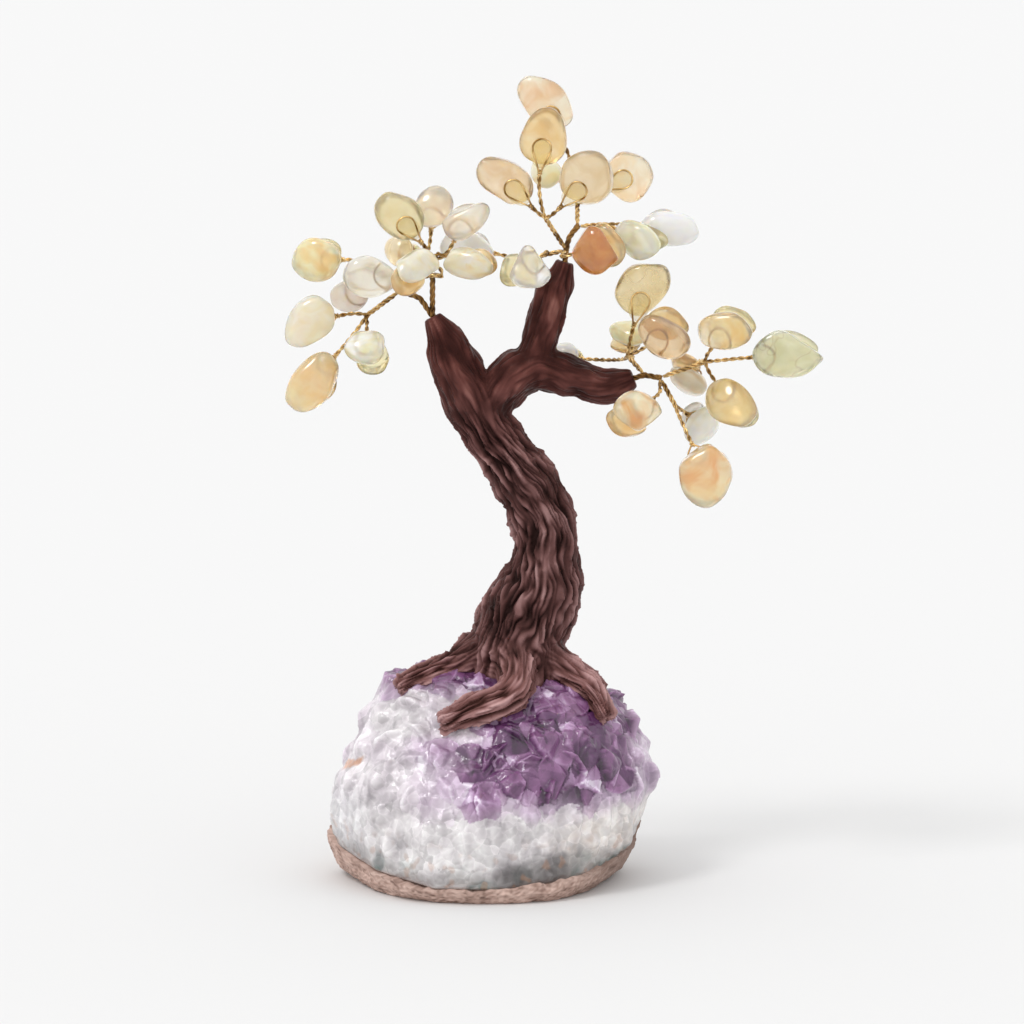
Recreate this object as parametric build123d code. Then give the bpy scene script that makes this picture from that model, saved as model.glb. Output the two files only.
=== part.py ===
from build123d import *
import math
import os

os.makedirs("parts", exist_ok=True)

# Frame: origin in the middle of the geode's ground underside, +Z up, front toward -Y, millimetres.

# Geode: height, then how far the rock reaches to the left, right, front and back at that height.
geode_levels = [
    (0, 27.5, 24, 26.5, 21),
    (2, 30, 26.5, 28.2, 22.5),
    (7, 32.2, 29, 29.2, 24.5),
    (14, 33.4, 31, 28.8, 25.5),
    (21, 32, 32.4, 27.2, 25.5),
    (28, 27.6, 31.4, 23.8, 24),
    (35, 24.2, 27.8, 18.5, 20.5),
    (40, 20.3, 21.8, 12.5, 15.5),
    (43.2, 11.5, 13, 6, 8.5),
]
geode_core = Vector(1, 0, 18)
rind_front_height = 3.2
rind_back_height = 14
crystal_count = 130
crystal_radius = 4.3
crystal_taper = 50
crystal_rise = 2
crystal_clear = 3
geode_sides = 13

# Trunk and roots: centre line points (x, y, z) and the diameter there.
trunk_line = [
    (5.5, 0, 40, 20),
    (5.5, 0, 48.5, 18.6),
    (8, 0, 55, 18),
    (10.5, 0, 60.5, 16.2),
    (11.2, 0, 66, 13.6),
    (11, 0, 71, 12.6),
    (9.5, 0, 76, 12.6),
    (7, 0, 81, 12),
    (3.5, 0, 86, 11),
    (0, 0, 91, 10.8),
    (-3.2, 0, 96.5, 11),
    (-6.2, 0, 102.5, 10),
    (-8.2, 0, 107.5, 8.8),
    (-9.8, 0, 111, 6.4),
    (-11.5, 0, 114.2, 3.6),
]
right_line = [
    (-0.5, 0, 93, 7),
    (1.6, 0, 98.6, 8.6),
    (5, 0, 102.6, 9.8),
    (9.5, 0, 104, 9.4),
    (13.4, 0, 103, 8.8),
    (17.7, 0, 101.7, 7.6),
    (21.8, 0, 100.3, 7.1),
    (25, 0, 100.6, 6.4),
    (27.4, 0, 101.3, 5),
    (28.8, 0, 101.8, 3.8),
]
top_line = [
    (7.2, 0, 102.5, 7),
    (8.8, 0, 106.5, 8),
    (10.2, 0, 110.5, 7.6),
    (11.6, 0, 115, 7.5),
    (13, 0, 119.6, 6.9),
    (14.4, 0, 123, 4.8),
    (15, 0, 125.2, 3.6),
]
root_lines = [
    [(2, 0, 48, 11), (-8, -2, 43.5, 6.4), (-14, -4, 41.5, 5.2), (-18.5, -6, 39.6, 3.4)],
    [(4, -3, 48, 11), (5.2, -10.5, 42.6, 8), (3, -15, 39, 7.2), (-3.5, -17, 37.2, 6.2), (-9.5, -18, 35, 3.6)],
    [(8, -1, 48, 11), (16, -5, 42.4, 6.4), (20.5, -8.5, 39.2, 5.2), (23, -12.5, 35.2, 3.4)],
    [(8, 2, 48, 11), (15, 6, 42.2, 6), (20, 9, 38.6, 4.4), (22.5, 11, 36, 3)],
    [(3, 3, 48, 11), (-3, 9, 42.2, 6), (-8, 13, 39, 4.4), (-11, 15, 36.6, 3)],
]

# Wire: radii, and the air between a prong's bead and the root of the twig that bends beside it.
core_radius = 2
bundle_radius = 1.2
prong_radius = 0.62
prong_bead = 1
root_ball = 0.75
root_air = 0.35
twig_radius = 0.6
stem_radius = 0.48
fork_bead = 0.72
loop_wire = 0.22
loop_gap = 0.34
collar_radius = 0.64
collar_long = 1.3
glue_film = 0.1

# Prong bends and ends, one wire bundle out of each branch tip.
left_exit = (-11.5, 0, 114.2)
left_bend = (-14, 0, 118)
left_end = (-18, -1, 119.5)
left_high_end = (-11.5, 1, 122.5)
top_exit = (15, 0, 125.2)
top_end = (15.2, 0, 127.6)
top_bend = (15.8, 1.5, 130)
top_high_end = (17.5, 3, 132)
right_exit = (28.8, 0, 101.8)
right_end = (31, 0, 102.4)
right_far_end = (34, -1, 102)

# Twigs: the prong end each one bends at, and the fork its stems leave from.
twigs = {
    "left_low": (left_end, (-24.5, -4, 115)),
    "left_mid": (left_end, (-20.5, 3.5, 121.5)),
    "left_high": (left_high_end, (-13.5, 4, 124.8)),
    "left_right": (left_high_end, (-10.6, 1, 125.8)),
    "left_front": (left_high_end, (-9.7, -6.5, 123.2)),
    "top_left": (top_end, (11, -4, 134.5)),
    "top_right": (top_high_end, (17.5, 6.5, 136)),
    "top_far": (top_high_end, (22.5, 2, 132.5)),
    "top_low": (top_end, (11.2, -1, 126.8)),
    "top_front": (top_end, (14.2, -4, 126.8)),
    "right_up": (right_end, (27.5, -2, 106.5)),
    "right_far": (right_far_end, (43, -1, 105.2)),
    "right_down": (right_far_end, (37, -1, 96.5)),
    "right_front": (right_far_end, (34, -5.5, 100)),
}

# Leaves: centre of the front chip (x, y, z), stem aim and chip axis (degrees anticlockwise from +X seen
# from the front), lean toward the front, roll about the stem, length, width, taper of the outline,
# thickness of the front and back chip (a back chip of 0 leaves the loop showing on the front chip), and
# how far the back chip slips sideways past the front one.
leaves = {
    "left_low_1": ((-36, -5, 114), 190, 222, 0, 0, 13.4, 8.6, 0.1, 4.4, 3, 0.4),
    "left_low_2": ((-35.5, -7, 102), 228, 228, 5, 0, 14, 9.2, 0.1, 4.6, 3, 1.1),
    "left_low_3": ((-24.5, -10.5, 108.5), 270, 180, 45, 0, 9, 8.4, 0.05, 3.6, 3, 1.4),
    "left_mid_1": ((-34.5, 7, 125), 180, 180, -15, 0, 11.6, 8.8, 0.1, 4.2, 3, -0.4),
    "left_mid_2": ((-28, 9, 117.5), 205, 200, -20, 0, 8.6, 6.4, 0.1, 3.4, 2.6, 0.4),
    "left_high_1": ((-17.8, -1, 133.8), 130, 130, 20, 0, 11.6, 9.6, 0.05, 4.4, 0, 0),
    "left_high_2": ((-11.5, 9.5, 134.6), 85, 80, -25, 0, 9.6, 7.6, 0.1, 4, 3, 0.4),
    "left_high_3": ((-17, 10, 126), 170, 160, -50, 0, 8, 6, 0.1, 3.2, 2.6, 0.4),
    "left_right_1": ((-4.8, 0, 133.5), 60, 27, -5, 0, 11.2, 6.6, 0.1, 4, 3, 0.4),
    "left_right_2": ((-3.7, -3.5, 125.2), 345, 355, 22, 0, 11, 6.8, 0.1, 3.6, 2.8, 0.4),
    "left_front_1": ((-15.5, -14, 125), 180, 200, 48, 40, 13.4, 8, 0.05, 3.6, 3, 0.8),
    "left_front_2": ((-24, -7, 123.5), 178, 170, 5, 0, 11.2, 8.8, -0.1, 4.2, 3, 0.4),
    "top_left_1": ((10.5, -6, 150.5), 85, 85, 5, 0, 11.8, 10.4, 0.05, 4.4, 0, 0),
    "top_left_2": ((3, -4, 142), 135, 148, 0, 0, 13.6, 8.6, 0.1, 4.4, 0, 0),
    "top_left_3": ((19, -9, 142), 45, 50, 15, 0, 13.4, 10.8, -0.05, 4.6, 0, 0),
    "top_right_1": ((11, 5, 156.5), 115, 128, 0, 0, 14.4, 9, 0.1, 4.4, 0, 0),
    "top_right_2": ((27.6, 6.5, 141.5), 25, 0, 0, 0, 10.8, 10.6, 0.05, 4.2, 0, 0),
    "top_right_3": ((11.5, 10, 142), 150, 150, -15, 0, 7.4, 5.6, 0.1, 3.2, 2.4, 0.4),
    "top_far_1": ((30, -2, 130.5), 345, 352, 30, 30, 12, 8, 0.1, 3.8, 3, -1.2),
    "top_far_2": ((35.5, 7.5, 131), 352, 348, -20, 0, 12.8, 7.6, 0.1, 4, 3, 0.4),
    "top_low_1": ((6.9, -7.5, 124.6), 215, 90, 40, 0, 10, 10.4, 0.25, 4, 3, -0.8),
    "top_low_2": ((-4, 9, 127), 170, 180, -25, 0, 12.4, 8.4, 0.1, 4, 3, 0.4),
    "top_front_1": ((21.5, -9.5, 129.4), 20, 105, 30, 0, 11, 11, 0.28, 4.6, 3, -0.4),
    "right_up_1": ((30.6, -3.5, 119.8), 75, 52, 5, 0, 12.8, 11, 0.05, 4.4, 0, 0),
    "right_up_2": ((35.4, -8, 111.8), 35, 350, 30, 0, 12.2, 8.6, 0.1, 4.2, 3, 1.5),
    "right_up_3": ((28.2, 9, 108.6), 100, 165, -60, 0, 9, 6, 0.1, 3.4, 2.6, 1.2),
    "right_up_4": ((15.5, 12.5, 104.2), 180, 185, -25, 0, 8, 6.4, 0.1, 3.4, 2.6, 0.4),
    "right_far_1": ((47.5, -5, 112.8), 55, 12, 22, 0, 12.6, 8.4, 0.1, 4.2, 3, -0.4),
    "right_far_2": ((59.5, -3, 107), 5, 354, 0, 0, 15.6, 9.6, 0.18, 4.6, 3, 0.4),
    "right_far_3": ((48.8, -6, 97.1), 310, 312, 30, 0, 12.8, 8.8, 0.1, 4.2, 3, 0.4),
    "right_far_4": ((40.5, 9, 101.5), 250, 290, -60, 0, 9.6, 7.8, 0.05, 3.8, 3, -1.6),
    "right_down_1": ((43, -6, 83.5), 295, 282, 5, 0, 14, 11.4, 0.05, 5, 3.2, 0.4),
    "right_down_2": ((41.6, 7, 92.2), 320, 280, -45, 0, 8.8, 8, 0.05, 3.8, 3, 0.4),
    "right_front_1": ((28, -12.5, 96.5), 207, 170, 40, 0, 12, 8.6, -0.2, 4.2, 3, 1.4),
}


def unit(a, b):
    return (Vector(*b) - Vector(*a)).normalized()


def ring(points):
    return Wire([Edge.make_spline(points, periodic=True)])


def tube(path, radius):
    start = path @ 0
    section = Plane(origin=start, z_dir=path % 0) * Circle(radius)
    return sweep(section, path=path).solid()


def ball(centre, radius, pole):
    return Solid.make_sphere(radius, Plane(origin=centre, z_dir=pole))


def rod(a, b, radius):
    return tube(Wire([Edge.make_line(a, b)]), radius)


def limb(points, flatten=1.0):
    # A moulded limb: round sections lofted along the centre line.
    centres = [Vector(*p[:3]) for p in points]
    sections = []
    for i, centre in enumerate(centres):
        before = centres[max(i - 1, 0)]
        after = centres[min(i + 1, len(centres) - 1)]
        along = (after - before).normalized()
        across = Vector(0, 1, 0) if abs(along.Y) < 0.1 else Vector(0, 0, 1).cross(along)
        plane = Plane(origin=centre, x_dir=across, z_dir=along)
        radius = points[i][3] / 2
        sections.append((plane * Ellipse(radius * flatten, radius)).wire())
    return Solid.make_loft(sections)


def geode_ring(level):
    height, left, right, front, back = level
    points = []
    for i in range(geode_sides):
        turn = 2 * math.pi * i / geode_sides
        rough = 1 + 0.025 * math.sin(3 * turn + 0.12 * height) + 0.02 * math.sin(5 * turn - 0.2 * height)
        across = (right if math.cos(turn) > 0 else left) * math.cos(turn) * rough
        deep = (back if math.sin(turn) > 0 else front) * math.sin(turn) * rough
        points.append(Vector(across, deep, height))
    return points


def make_rock():
    # Broken stone has flat facets, so the rock is a shell of triangles between the levels.
    rings = [geode_ring(level) for level in geode_levels]
    faces = [Face(Wire.make_polygon(rings[0])), Face(Wire.make_polygon(rings[-1]))]
    for low, high in zip(rings, rings[1:]):
        for i in range(geode_sides):
            j = (i + 1) % geode_sides
            faces.append(Face(Wire.make_polygon([low[i], low[j], high[j]])))
            faces.append(Face(Wire.make_polygon([low[i], high[j], high[i]])))
    return Solid(Shell(faces))


def near_root(spot):
    # True where a root would cover a crystal point.
    for line in root_lines:
        for low, high in zip(line, line[1:]):
            for step in range(5):
                share = step / 4
                centre = Vector(*low[:3]) * (1 - share) + Vector(*high[:3]) * share
                radius = (low[3] * (1 - share) + high[3] * share) / 2
                if (spot - centre).length < radius + crystal_clear:
                    return True
    return False


def leaf_plane(aim, lean, roll):
    aim = math.radians(aim)
    lean = math.radians(lean)
    along = Vector(math.cos(aim) * math.cos(lean), -math.sin(lean), math.sin(aim) * math.cos(lean))
    front = Vector(0, -1, 0)
    front = (front - along * front.dot(along)).normalized()
    front = front.rotate(Axis((0, 0, 0), along), roll)
    return along, front


def chip_outline(length, width, taper, turn, seed, scale=1.0):
    # A tumbled outline: an egg with a few shallow lobes, so that no two chips look alike.
    points = []
    for i in range(12):
        t = 2 * math.pi * i / 12
        lobe = 1 + 0.045 * math.sin(2 * t + seed) + 0.03 * math.sin(3 * t + 2.3 * seed)
        x = 0.5 * length * math.cos(t) * lobe * scale
        y = 0.5 * width * math.sin(t) * (1 - taper * math.cos(t)) * lobe * scale
        points.append((x * math.cos(turn) - y * math.sin(turn), x * math.sin(turn) + y * math.cos(turn)))
    return points


def chip(plane, centre, size, taper, turn, seed, thick, side):
    # A tumbled chip on one side of the loop, flat where it is glued and rounded on the outside.
    levels = [(0, 0.8), (0.2, 0.95), (0.45, 1), (0.72, 0.88), (0.92, 0.58), (1, 0.28)]
    face = loop_wire + glue_film
    rings = []
    for up, scale in levels:
        outline = chip_outline(size[0], size[1], taper, turn, seed, scale)
        height = side * (face + up * thick)
        rings.append(ring([plane.from_local_coords((centre[0] + x, centre[1] + y, height)) for x, y in outline]))
    return Solid.make_loft(rings)


def make_leaf(name, index):
    centre, aim, axis, lean, roll, length, width, taper, thick, back, slip = leaves[name]
    along, front = leaf_plane(aim, lean, roll)
    turn = math.radians(axis - aim)
    seed = 1.7 * index
    outline = chip_outline(length, width, taper, turn, seed)
    reach = 0.95 - min(p[0] for p in outline) + 0.35
    base = Vector(*centre) - along * reach
    plane = Plane(origin=base, x_dir=along, z_dir=front)
    side = 1 if back else -1
    solids = [chip(plane, (reach, 0), (length, width), taper, turn, seed, thick, side)]
    loop_long = min(6.2, reach + 0.3 * length - 0.5)
    loop_round = 0.34 * loop_long
    if back:
        spot = (reach + 0.5, slip)
        solids.append(chip(plane, spot, (0.8 * length, 0.82 * width), taper, turn, seed + 2, back, -1))
    dab_plane = Plane(origin=plane.from_local_coords((loop_long - loop_round, 0, 0)), x_dir=along, z_dir=front)
    dab_thick = 2 * (loop_wire + glue_film)
    dab = extrude(dab_plane * Circle(loop_round - loop_wire - 0.12), amount=dab_thick / 2, both=True)
    solids.append(dab.solid())
    return solids, base, along, plane, loop_long, loop_round


def make_loop(plane, loop_long, loop_round):
    # One teardrop of single wire: two straight legs from the bead and a round end.
    middle = loop_long - loop_round
    far = math.hypot(middle, loop_gap)
    lead = math.atan2(-loop_gap, middle) + math.asin(loop_round / far)
    leg = math.sqrt(far ** 2 - loop_round ** 2)
    touch = (leg * math.cos(lead), loop_gap + leg * math.sin(lead))
    start = plane.from_local_coords((0, loop_gap, 0))
    upper = plane.from_local_coords((touch[0], touch[1], 0))
    tip = plane.from_local_coords((loop_long, 0, 0))
    lower = plane.from_local_coords((touch[0], -touch[1], 0))
    end = plane.from_local_coords((0, -loop_gap, 0))
    edges = [
        Edge.make_line(start, upper),
        Edge.make_three_point_arc(upper, tip, lower),
        Edge.make_line(lower, end),
    ]
    return tube(Wire(edges), loop_wire)


def make_stem(base, along, fork):
    # A stem leaves the leaf straight and bends evenly to the fork.
    fork = Vector(*fork)
    if abs((fork - base).normalized().dot(along)) > 0.999:
        return rod(base, fork, stem_radius)
    return tube(Wire([Edge.make_tangent_arc(base, along * -1, fork)]), stem_radius)


def pivot_of(name):
    end, fork = twigs[name]
    return Vector(*end) + unit(end, fork) * (prong_bead + root_ball + root_air)


print("geode")
geode = make_rock()

print("trunk")
trunk_whole = limb(trunk_line)
for line in [right_line, top_line] + root_lines:
    trunk_whole = trunk_whole.fuse(limb(line))

print("crystals")
rind_tilt = math.degrees(math.atan2(rind_back_height - rind_front_height, 50))
rind_plane = Plane(origin=(0, 0, (rind_front_height + rind_back_height) / 2)).rotated((rind_tilt, 0, 0))
golden = math.radians(137.5)
crystals = []
for i in range(crystal_count):
    # Points stand evenly all over the quartz, from the crown down to the rind, higher on the crown.
    fall = math.acos(1 - 1.3 * (i + 0.5) / crystal_count)
    spin = i * golden
    ray = Vector(math.sin(fall) * math.cos(spin), math.sin(fall) * math.sin(spin), math.cos(fall))
    ray = ray.rotate(Axis.X, 14)
    hits = geode.find_intersection_points(Axis(geode_core, ray))
    spot, out = max(hits, key=lambda hit: (hit[0] - geode_core).dot(ray))
    if rind_plane.to_local_coords(spot).Z < 4 or near_root(spot):
        continue
    if (spot - geode_core).dot(out) < 0:
        out = out * -1
    lean = (out + ray * 0.4).normalized()
    radius = crystal_radius + 0.6 * math.sin(2.1 * i)
    tall = 0.78 * radius / math.tan(math.radians(crystal_taper))
    rise = crystal_rise * min(1, 0.55 + spot.Z / 60) + 0.3 * math.sin(1.3 * i)
    seat = Plane(origin=spot - lean * (tall - rise), z_dir=lean).rotated((0, 0, 37 * i))
    point = extrude(seat * RegularPolygon(radius, 6), amount=tall, taper=crystal_taper)
    crystals.append(point.solid())
print("points", len(crystals))
stone = geode.fuse(*crystals)
quartz = split(stone, bisect_by=rind_plane, keep=Keep.TOP)
rind = split(stone, bisect_by=rind_plane, keep=Keep.BOTTOM)

print("armature")
core_foot = Vector(6, 0, 46)
core_waist = Vector(11.2, 0, 67)
core_top = Vector(0.5, 0, 90)
lower = Edge.make_tangent_arc(core_foot, Vector(0.47, 0, 0.88), core_waist)
upper = Edge.make_tangent_arc(core_waist, lower % 1, core_top)
core = tube(Wire([lower, upper]), core_radius)


def make_bundle(start, lead, bends, exit_point, prongs):
    # Wire wound together inside the branch, then one prong for each place where twigs spring from.
    edges = []
    here = Vector(*start)
    heading = Vector(*lead)
    for spot in bends + [exit_point]:
        edge = Edge.make_tangent_arc(here, heading, Vector(*spot))
        edges.append(edge)
        here = Vector(*spot)
        heading = edge % 1
    whole = tube(Wire(edges), bundle_radius).fuse(ball(exit_point, bundle_radius + 0.06, heading))
    for prong in prongs:
        for a, b in zip(prong, prong[1:]):
            whole = whole.fuse(rod(a, b, prong_radius))
            whole = whole.fuse(ball(b, prong_bead if b == prong[-1] else prong_radius + 0.05, unit(a, b)))
    return whole


bundles = {
    "left": make_bundle((-4.4, 0, 98), (-0.5, 0, 0.87), [(-8.4, 0, 107)], left_exit,
                        [[left_exit, left_bend, left_end], [left_exit, left_high_end]]),
    "top": make_bundle((4.4, 0, 100.5), (0.54, 0, 0.84), [(10.4, 0, 111.5)], top_exit,
                       [[top_exit, top_end], [top_end, top_bend, top_high_end]]),
    "right": make_bundle((9.6, 0, 103), (0.98, 0, -0.05), [(20, 0, 101)], right_exit,
                         [[right_exit, right_end], [right_end, right_far_end]]),
}
trunk = trunk_whole.cut(geode)
for hidden in [core, *bundles.values()]:
    trunk = trunk.cut(hidden)

print("leaves")
twig_parts = {name: [] for name in twigs}
nodes = {}
for index, name in enumerate(leaves):
    twig = name.rsplit("_", 1)[0]
    fork = twigs[twig][1]
    solids, base, along, plane, loop_long, loop_round = make_leaf(name, index)
    nodes["leaf_" + name] = Compound(solids)
    twig_parts[twig].append(make_stem(base, along, fork))
    twig_parts[twig].append(rod(base - along * collar_long / 2, base + along * collar_long / 2, collar_radius))
    twig_parts[twig].append(make_loop(plane, loop_long, loop_round))

print("twigs")
for name, parts in twig_parts.items():
    pivot = pivot_of(name)
    fork = Vector(*twigs[name][1])
    rise = (fork - pivot).normalized()
    whole = ball(fork, fork_bead, rise)
    for piece in [rod(pivot, fork, twig_radius), ball(pivot, root_ball, rise)] + parts:
        whole = whole.fuse(piece)
    nodes["twig_" + name] = whole

for name, bundle in bundles.items():
    nodes["wire_bundle_" + name] = bundle
nodes["wire_core"] = core
nodes["trunk"] = trunk
nodes["geode_quartz"] = quartz
nodes["geode_rind"] = rind

for name, shape in nodes.items():
    export_step(shape, "parts/" + name + ".step")
print(len(nodes), "nodes")
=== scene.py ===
import bpy
import bmesh
import math
import numpy as np
from mathutils import Matrix, Vector, kdtree, noise
from mathutils.bvhtree import BVHTree


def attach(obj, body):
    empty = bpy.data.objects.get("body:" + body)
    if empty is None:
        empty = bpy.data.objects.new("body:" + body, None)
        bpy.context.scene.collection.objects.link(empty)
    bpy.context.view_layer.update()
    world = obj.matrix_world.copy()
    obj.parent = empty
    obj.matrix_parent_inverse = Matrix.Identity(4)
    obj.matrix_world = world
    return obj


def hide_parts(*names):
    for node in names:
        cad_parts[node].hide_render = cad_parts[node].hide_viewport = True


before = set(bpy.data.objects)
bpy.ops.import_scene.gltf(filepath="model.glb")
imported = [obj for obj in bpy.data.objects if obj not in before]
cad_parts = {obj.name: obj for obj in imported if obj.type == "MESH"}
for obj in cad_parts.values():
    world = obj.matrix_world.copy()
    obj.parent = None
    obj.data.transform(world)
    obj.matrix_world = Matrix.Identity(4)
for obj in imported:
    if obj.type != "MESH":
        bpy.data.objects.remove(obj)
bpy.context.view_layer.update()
mm = 0.001
print("frame loaded", len(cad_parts), "nodes")


def linear(code):
    # sRGB hex to the linear values that shaders take.
    parts = [int(code[i:i + 2], 16) / 255 for i in (1, 3, 5)]
    return [p / 12.92 if p <= 0.04045 else ((p + 0.055) / 1.055) ** 2.4 for p in parts] + [1.0]


def add(tree, kind, links=None, stops=None, **settings):
    # Adds a shader node: plain settings, socket values or links by socket name, and stops for a ramp.
    node = tree.nodes.new(kind)
    for key, value in settings.items():
        setattr(node, key, value)
    for key, value in (links or {}).items():
        if isinstance(value, bpy.types.NodeSocket):
            tree.links.new(value, node.inputs[key])
        else:
            node.inputs[key].default_value = value
    if stops:
        ramp = node.color_ramp
        while len(ramp.elements) < len(stops):
            ramp.elements.new(0.5)
        for element, (place, code) in zip(ramp.elements, stops):
            element.position = place
            element.color = linear(code)
    return node


def newMaterial(name):
    material = bpy.data.materials.new(name)
    material.use_nodes = True
    tree = material.node_tree
    tree.nodes.clear()
    output = add(tree, "ShaderNodeOutputMaterial")
    return material, tree, output


def meshObject(name, verts, faces, material, smooth=True):
    mesh = bpy.data.meshes.new(name)
    mesh.from_pydata([tuple(v) for v in verts], [], [tuple(int(i) for i in f) for f in faces])
    mesh.materials.append(material)
    mesh.polygons.foreach_set("use_smooth", [smooth] * len(mesh.polygons))
    mesh.update()
    item = bpy.data.objects.new(name, mesh)
    bpy.context.scene.collection.objects.link(item)
    return item


def hang(item, body, *nodes):
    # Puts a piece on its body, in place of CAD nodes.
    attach(item, body)
    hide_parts(*nodes)


def joined(pieces):
    # One vertex and face list out of many.
    verts = []
    faces = []
    start = 0
    for v, f in pieces:
        verts.append(np.asarray(v, float))
        faces += [tuple(i + start for i in face) for face in f]
        start += len(v)
    return np.concatenate(verts), faces


def noiseAt(points, scale, seed=0.0):
    # Smooth noise between -1 and 1 with features about as long as scale (mm).
    shift = Vector((seed * 17.3, seed * 7.1, seed * 3.7))
    return np.array([noise.noise(Vector(p) / scale + shift) for p in points])


def smoothstep(low, high, value):
    t = np.clip((value - low) / (high - low), 0, 1)
    return t * t * (3 - 2 * t)


def framesAlong(points):
    # Tangent, normal and binormal carried along a line without twist.
    points = np.asarray(points, float)
    tangents = np.gradient(points, axis=0)
    tangents /= np.linalg.norm(tangents, axis=1)[:, None]
    normal = np.cross(tangents[0], (0, 1, 0))
    if np.linalg.norm(normal) < 0.2:
        normal = np.cross(tangents[0], (1, 0, 0))
    normals = []
    for t in tangents:
        normal = normal - t * normal.dot(t)
        normal = normal / np.linalg.norm(normal)
        normals.append(normal)
    normals = np.array(normals)
    return tangents, normals, np.cross(tangents, normals)


def tube(points, radii, sides=8):
    # Closed round tube along a line, all in mm.
    points = np.asarray(points, float)
    radii = np.broadcast_to(np.asarray(radii, float), (len(points),))
    _, normals, binormals = framesAlong(points)
    turns = np.linspace(0, 2 * math.pi, sides, endpoint=False)
    cosines = np.cos(turns)[None, :, None]
    sines = np.sin(turns)[None, :, None]
    ring = cosines * normals[:, None, :] + sines * binormals[:, None, :]
    verts = (points[:, None, :] + ring * radii[:, None, None]).reshape(-1, 3)
    faces = []
    for i in range(len(points) - 1):
        for j in range(sides):
            k = (j + 1) % sides
            faces.append((i * sides + j, i * sides + k, (i + 1) * sides + k, (i + 1) * sides + j))
    last = (len(points) - 1) * sides
    faces.append(tuple(range(sides - 1, -1, -1)))
    faces.append(tuple(last + j for j in range(sides)))
    return verts, faces


def resample(points, step):
    points = np.asarray(points, float)
    lengths = np.concatenate([[0], np.cumsum(np.linalg.norm(np.diff(points, axis=0), axis=1))])
    count = max(int(lengths[-1] / step) + 1, 4)
    places = np.linspace(0, lengths[-1], count)
    return np.stack([np.interp(places, lengths, points[:, i]) for i in range(3)], 1)


def roundedLine(points, step=0.15, passes=30):
    # A polyline with its corners eased.
    line = resample(points, step)
    for _ in range(passes):
        line[1:-1] = 0.5 * line[1:-1] + 0.25 * (line[:-2] + line[2:])
    return line


def arcLine(start, heading, end, step=0.15):
    # Circle arc that leaves start along heading and ends at end.
    start = np.asarray(start, float)
    end = np.asarray(end, float)
    heading = np.asarray(heading, float)
    chord = end - start
    along = chord.dot(heading)
    off = chord - heading * along
    aside = np.linalg.norm(off)
    if aside < 0.02:
        return resample([start, end], step)
    off = off / aside
    radius = chord.dot(chord) / (2 * aside)
    sweep = 2 * math.atan2(aside, along)
    angles = np.linspace(0, sweep, max(int(radius * sweep / step), 6))
    return start + radius * (np.sin(angles)[:, None] * heading + (1 - np.cos(angles))[:, None] * off)


def twisted(line, strands, offset, radius, pitch, phase=0.0, sides=7, taper=0.0):
    # Strands wound round a line like twisted wire, closing in over the first taper mm.
    line = resample(line, 0.15)
    _, normals, binormals = framesAlong(line)
    run = np.arange(len(line)) * np.linalg.norm(line[1] - line[0])
    spread = offset * (0.35 + 0.65 * smoothstep(0, taper, run)) if taper else np.full(len(line), offset)
    pieces = []
    for k in range(strands):
        turn = 2 * math.pi * (run / pitch + k / strands) + phase
        path = line + spread[:, None] * (np.cos(turn)[:, None] * normals + np.sin(turn)[:, None] * binormals)
        pieces.append(tube(path, radius, sides))
    return pieces


def islands(item):
    # The separate closed solids of a CAD node, as (verts in mm, faces), largest first.
    bm = bmesh.new()
    bm.from_mesh(item.data)
    bmesh.ops.remove_doubles(bm, verts=bm.verts, dist=0.000002)
    bm.verts.ensure_lookup_table()
    seen = set()
    found = []
    for start in bm.verts:
        if start.index in seen:
            continue
        group = {start.index}
        edge = [start]
        while edge:
            v = edge.pop()
            for e in v.link_edges:
                w = e.other_vert(v)
                if w.index not in group:
                    group.add(w.index)
                    edge.append(w)
        seen |= group
        order = {old: new for new, old in enumerate(sorted(group))}
        verts = np.array([bm.verts[i].co for i in sorted(group)]) * 1000
        faces = [[order[v.index] for v in f.verts] for f in bm.faces if f.verts[0].index in group]
        found.append((verts, faces))
    bm.free()
    return sorted(found, key=lambda s: -np.ptp(s[0], axis=0).prod())


def voxelSkin(name, verts, faces, size, passes, material):
    # Melts overlapping closed pieces into one even skin, and returns its mesh, points and normals in mm.
    rough = meshObject(name, verts * mm, faces, material)
    remesh = rough.modifiers.new("voxels", "REMESH")
    remesh.mode = "VOXEL"
    remesh.voxel_size = size * mm
    ease = rough.modifiers.new("ease", "SMOOTH")
    ease.iterations = passes
    ease.factor = 0.5
    evaluated = rough.evaluated_get(bpy.context.evaluated_depsgraph_get())
    skin = bpy.data.meshes.new_from_object(evaluated)
    skin.name = name
    bpy.data.objects.remove(rough)
    points = np.zeros(len(skin.vertices) * 3)
    skin.vertices.foreach_get("co", points)
    normals = np.zeros(len(skin.vertices) * 3)
    skin.vertices.foreach_get("normal", normals)
    return skin, points.reshape(-1, 3) * 1000, normals.reshape(-1, 3)


def skinObject(name, skin, points, material, smooth=True):
    skin.vertices.foreach_set("co", (points * mm).ravel())
    skin.polygons.foreach_set("use_smooth", [smooth] * len(skin.polygons))
    skin.materials.clear()
    skin.materials.append(material)
    skin.update()
    item = bpy.data.objects.new(name, skin)
    bpy.context.scene.collection.objects.link(item)
    return item


def paint(item, colours):
    # Stores linear colours per vertex for the materials that read tone.
    layer = item.data.color_attributes.new("tone", "FLOAT_COLOR", "POINT")
    values = np.concatenate([colours, np.ones((len(colours), 1))], 1)
    layer.data.foreach_set("color", values.astype(np.float32).ravel())


def shades(stops, value):
    # Colour along a row of (place, hex) stops.
    places = [s[0] for s in stops]
    table = np.array([linear(s[1])[:3] for s in stops])
    return np.stack([np.interp(value, places, table[:, i]) for i in range(3)], 1)


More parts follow.
